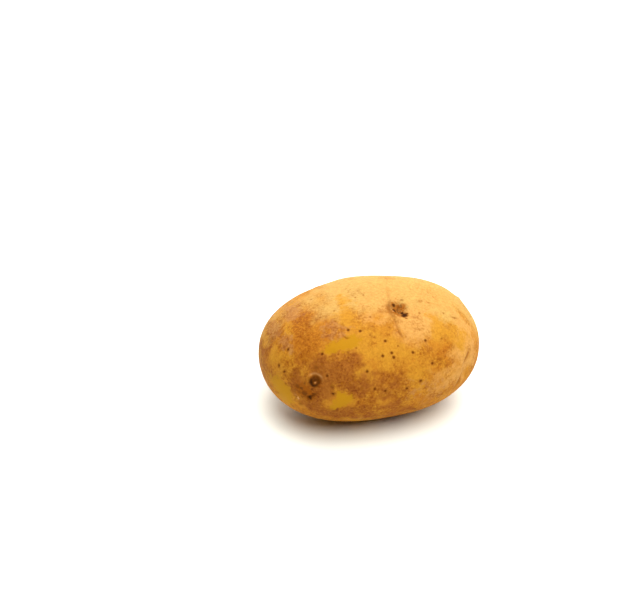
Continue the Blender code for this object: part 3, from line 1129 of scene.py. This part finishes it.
@dataclass(frozen=True)
class PeridermSkin:
    """Potato skin: a thin corky periderm over yellow flesh, set hard in the ground and washed.

    The smooth yellow skin is a little waxy. The thicker corky skin over it is brown and matte,
    and breaks up into fine flakes, flecks and pores. Sizes are in millimetres. A span is where a
    noise starts to count and where it counts in full.
    """

    yellow: str = "#BF8428"
    tan: str = "#B57522"
    pore_colour: str = "#7C440A"
    mottle_size: float = 8.0
    mottle_span: tuple[float, float] = (0.36, 0.64)
    cluster_size: float = 7.0
    cluster_span: tuple[float, float] = (0.40, 0.64)
    more_on_cork: float = 0.10
    fewer_on_smooth: float = 0.16
    pore_spacing: float = 1.8
    pore_radius: float = 0.30
    pore_share: float = 0.75
    pore_span: tuple[float, float] = (0.6, 0.9)
    least_pores: float = 0.15
    noise_roughness: float = 0.62
    flake_size: float = 1.0
    relief: float = 0.30
    bump_strength: float = 0.8
    relief_when_bare: float = 0.3
    roughness: tuple[float, float] = (0.45, 0.60)
    ior: float = 1.45
    specular: float = 0.03
    glow: float = 0.05
    glow_depth: float = 1.0
    glow_reach: tuple[float, float, float] = (1.0, 0.5, 0.2)
    broad_layers: tuple[SkinLayer, ...] = (
        SkinLayer(Tint.RUSSET, "#AF6C1D", cover=0.85, wobble=2.6, wobble_size=6.0, softness=7.0),
        # Partly painted sheen: this pale yellow layer, over the top, stands for the paleness of the light
        # there.
        SkinLayer(Tint.STRAW_AND_SHEEN, "#C29A52", cover=0.95, wobble=1.4, wobble_size=9.0, softness=9.0),
        # Partly painted sheen: this pinkish layer is pale with the light on the upper right and the right
        # edge.
        SkinLayer(Tint.PEACH_AND_SHEEN, "#CA964E", cover=0.90, wobble=1.8, wobble_size=5.0, softness=7.0),
        SkinLayer(Tint.SMOOTH, "#BF8627", cover=0.90, wobble=2.0, wobble_size=5.0, softness=5.0),
        # The brown corky layer is the skin's own, but for a band at the left end that is painted shade.
        SkinLayer(Tint.CORK_AND_SHADE, "#9D5F22", cover=0.95, wobble=2.2, wobble_size=6.0, softness=6.0),
        SkinLayer(Tint.SCURF, "#AF7840", cover=0.75, wobble=1.6, wobble_size=2.5, softness=3.0),
    )
    specklings: tuple[Speckling, ...] = (
        Speckling("#B07A46", size=2.4, faint=0.44, full=0.68, share=0.42, least=0.30),
        Speckling("#A8784A", size=0.9, faint=0.38, full=0.64, share=0.75, least=0.36),
        Speckling("#92560C", size=1.1, faint=0.54, full=0.63, share=0.70, least=0.14, blend="MIX"),
    )
    top_layers: tuple[SkinLayer, ...] = (
        SkinLayer(Tint.BARE, "#AE7A10", cover=0.90, wobble=0.8, wobble_size=2.2, softness=1.9),
        SkinLayer(Tint.PALE, "#D8A468"),
        # The brown crust and the dark layers also paint shade in the creases and the eye hollows.
        SkinLayer(Tint.CRUST_AND_SHADE, "#8C4A05", cover=0.90),
        SkinLayer(Tint.DARK, "#2E1402", cover=0.97),
    )

    def build(self) -> bpy.types.Material:
        """Makes the material."""
        material, add = new_material("washed_potato_periderm")
        noisy = {"Vector": add("TexCoord", out="Object"), "Roughness": self.noise_roughness}
        mottle = add("TexNoise", {**noisy, "Scale": 1 / (self.mottle_size * MM), "Detail": 6.0})
        blotches = add("MapRange", {0: mottle, 1: self.mottle_span[0], 2: self.mottle_span[1]})
        skin = add("Mix", {0: blotches, 6: linear(self.yellow), 7: linear(self.tan)}, 2, data_type="RGBA")
        skin, shares = self.layered(add, noisy, skin, self.broad_layers)
        skin = self.speckled(add, noisy, skin, shares)
        skin, shares = self.layered(add, noisy, skin, self.top_layers)
        bare = shares[Tint.BARE]
        flakes = add("TexNoise", {**noisy, "Scale": 1 / (self.flake_size * MM), "Detail": 3.0})
        calm = add("MapRange", {0: bare, 3: 1.0, 4: self.relief_when_bare})
        height = add("Math", {0: flakes, 1: calm}, operation="MULTIPLY")
        bump = add("Bump", {"Strength": self.bump_strength, "Distance": self.relief * MM, "Height": height})
        matte = add("MapRange", {0: bare, 3: self.roughness[1], 4: self.roughness[0]})
        shader = add("BsdfPrincipled", {
            "Base Color": skin, "Roughness": matte, "IOR": self.ior, "Normal": bump,
            "Specular IOR Level": self.specular, "Subsurface Weight": self.glow,
            "Subsurface Scale": self.glow_depth * MM, "Subsurface Radius": self.glow_reach})
        add("OutputMaterial", {"Surface": shader})
        return material

    def layered(
        self, add: Callable[..., Socket], noisy: dict[str, Any], skin: Socket, layers: tuple[SkinLayer, ...],
    ) -> tuple[Socket, dict[Tint, Socket]]:
        """Lays kinds of skin over a colour, one after another.

        Args:
            add: Adds a node to the material.
            noisy: What every noise on the skin starts from.
            skin: The colour so far.
            layers: The kinds, from the lowest up.

        Returns:
            The colour, and how much of the skin each kind covers.
        """
        shares: dict[Tint, Socket] = {}
        for layer in layers:
            share = add("Attribute", out="Fac", attribute_name=layer.tint.value)
            if layer.wobble:
                gain = layer.wobble / NOISE_SPREAD
                wobble = add("TexNoise", {**noisy, "Scale": 1 / (layer.wobble_size * MM), "Detail": 3.0})
                moved = add("Math", {0: wobble, 1: gain, 2: -gain / 2}, operation="MULTIPLY_ADD")
                edge = add("Math", {0: share, 1: moved}, operation="ADD")
                share = add("MapRange", {0: edge, 1: -layer.softness / 2, 2: layer.softness / 2},
                            interpolation_type="SMOOTHSTEP")
            shares[layer.tint] = add("Math", {0: share, 1: layer.cover}, operation="MULTIPLY")
            skin = add("Mix", {0: shares[layer.tint], 6: skin, 7: linear(layer.colour)}, 2, data_type="RGBA")
        return skin, shares

    def speckled(
        self, add: Callable[..., Socket], noisy: dict[str, Any], skin: Socket, shares: dict[Tint, Socket],
    ) -> Socket:
        """Breaks the colour up with fine stains, flakes, flecks and pores, in clusters.

        Args:
            add: Adds a node to the material.
            noisy: What every noise on the skin starts from.
            skin: The colour so far.
            shares: How much of the skin each kind covers.

        Returns:
            The colour.
        """
        clusters = add("TexNoise", {**noisy, "Scale": 1 / (self.cluster_size * MM), "Detail": 3.0})
        corky = add("Math", {0: shares[Tint.CORK_AND_SHADE], 1: shares[Tint.RUSSET]}, operation="MAXIMUM")
        pale = add("Math", {0: shares[Tint.STRAW_AND_SHEEN], 1: shares[Tint.PEACH_AND_SHEEN]}, operation="MAXIMUM")
        smooth = add("Math", {0: pale, 1: shares[Tint.SMOOTH]}, operation="MAXIMUM")
        more = add("Math", {0: corky, 1: self.more_on_cork, 2: clusters}, operation="MULTIPLY_ADD")
        fewer = add("Math", {0: smooth, 1: -self.fewer_on_smooth, 2: more}, operation="MULTIPLY_ADD")
        amount = add("MapRange", {0: fewer, 1: self.cluster_span[0], 2: self.cluster_span[1]})
        for kind in self.specklings:
            grain = add("TexNoise", {**noisy, "Scale": 1 / (kind.size * MM), "Detail": 4.0})
            high = add("MapRange", {0: grain, 1: kind.faint, 2: kind.full, 4: kind.share})
            much = add("MapRange", {0: amount, 3: kind.least, 4: 1.0})
            share = add("Math", {0: high, 1: much}, operation="MULTIPLY")
            skin = add("Mix", {0: share, 6: skin, 7: linear(kind.colour)}, 2,
                       data_type="RGBA", blend_type=kind.blend)
        cells = add("TexVoronoi", {"Vector": noisy["Vector"], "Scale": 1 / (self.pore_spacing * MM)})
        edge = self.pore_radius / self.pore_spacing
        pore = add("MapRange", {0: cells, 1: 0.4 * edge, 2: 1.6 * edge, 3: self.pore_share, 4: 0.0},
                   interpolation_type="SMOOTHSTEP")
        chosen = add("SeparateColor", {0: cells.node.outputs["Color"]})
        some = add("MapRange", {0: chosen, 1: self.pore_span[0], 2: self.pore_span[1]})
        most = add("MapRange", {0: amount, 3: self.least_pores, 4: 1.0})
        rare = add("Math", {0: some, 1: most}, operation="MULTIPLY")
        pores = add("Math", {0: pore, 1: rare}, operation="MULTIPLY")
        return add("Mix", {0: pores, 6: skin, 7: linear(self.pore_colour)}, 2, data_type="RGBA")


@dataclass(frozen=True)
class PaperSweep:
    """A sheet of white background paper that the tuber lies on. It is matte and bright."""

    size: float = 5.0
    gap: float = 0.05 * MM
    colour: str = "#F1F4EC"
    fibre_size: float = 2 * MM
    roughness: tuple[float, float] = (0.88, 0.94)
    specular: float = 0.2

    def build(self) -> None:
        """Adds the floor."""
        bpy.ops.object.select_all(action="DESELECT")
        bpy.ops.mesh.primitive_plane_add(size=self.size, location=(0, 0, -self.gap))
        floor = bpy.context.object
        floor.name = floor.data.name = "white_paper"
        bpy.ops.object.transform_apply(location=True)
        paper, add = new_material("white_background_paper")
        fibres = add("TexNoise", {"Vector": add("TexCoord", out="Object"), "Scale": 1 / self.fibre_size})
        matte = add("MapRange", {0: fibres, 3: self.roughness[0], 4: self.roughness[1]})
        shader = add("BsdfPrincipled", {
            "Base Color": linear(self.colour), "Roughness": matte, "Specular IOR Level": self.specular})
        add("OutputMaterial", {"Surface": shader})
        floor.data.materials.append(paper)
        log.info("white_paper: %.1f m square", self.size)


@dataclass(frozen=True)
class Softbox:
    """A broad, far light. The angles are in degrees: where it stands, and how wide it looks."""

    name: str
    azimuth: float
    elevation: float
    strength: float
    width: float = 70.0

    def build(self) -> None:
        """Adds the light."""
        data = bpy.data.lights.new(self.name, "SUN")
        data.energy, data.angle = self.strength, math.radians(self.width)
        source = bpy.data.objects.new(self.name, data)
        source.location = Vector(towards(self.azimuth, self.elevation))
        source.rotation_euler = source.location.to_track_quat("Z", "Y").to_euler()
        bpy.context.scene.collection.objects.link(source)
        log.info("%s", self.name)


@dataclass(frozen=True)
class StudioLight:
    """One big softbox overhead, a low one behind, a weak one on the right, and a dim room."""

    softboxes: tuple[Softbox, ...] = (
        Softbox("overhead_softbox", azimuth=-55, elevation=70, strength=4.7),
        Softbox("back_softbox", azimuth=88, elevation=38, strength=3.4),
        Softbox("right_softbox", azimuth=5, elevation=24, strength=0.6),
    )
    room: str = "#FFE2BC"
    room_strength: float = 0.05

    def build(self) -> None:
        """Adds the lights and the room."""
        for softbox in self.softboxes:
            softbox.build()
        world = bpy.data.worlds.new("pale_room")
        world.use_nodes = True
        background = world.node_tree.nodes["Background"]
        background.inputs["Color"].default_value = linear(self.room)
        background.inputs["Strength"].default_value = self.room_strength
        bpy.context.scene.world = world
        bpy.context.scene.view_settings.view_transform = "Standard"
        log.info("pale_room")


def main() -> None:
    """Builds the tuber, its floor, its light and the camera."""
    logging.basicConfig(level=logging.INFO, format="%(name)s: %(message)s")
    camera = PhotoCamera()
    tuber = Tuber(camera)
    tuber.build(PeridermSkin())
    PaperSweep().build()
    StudioLight().build()
    camera.build((tuber.box[0] + tuber.box[1]) / 2)


if __name__ == "__main__":
    main()
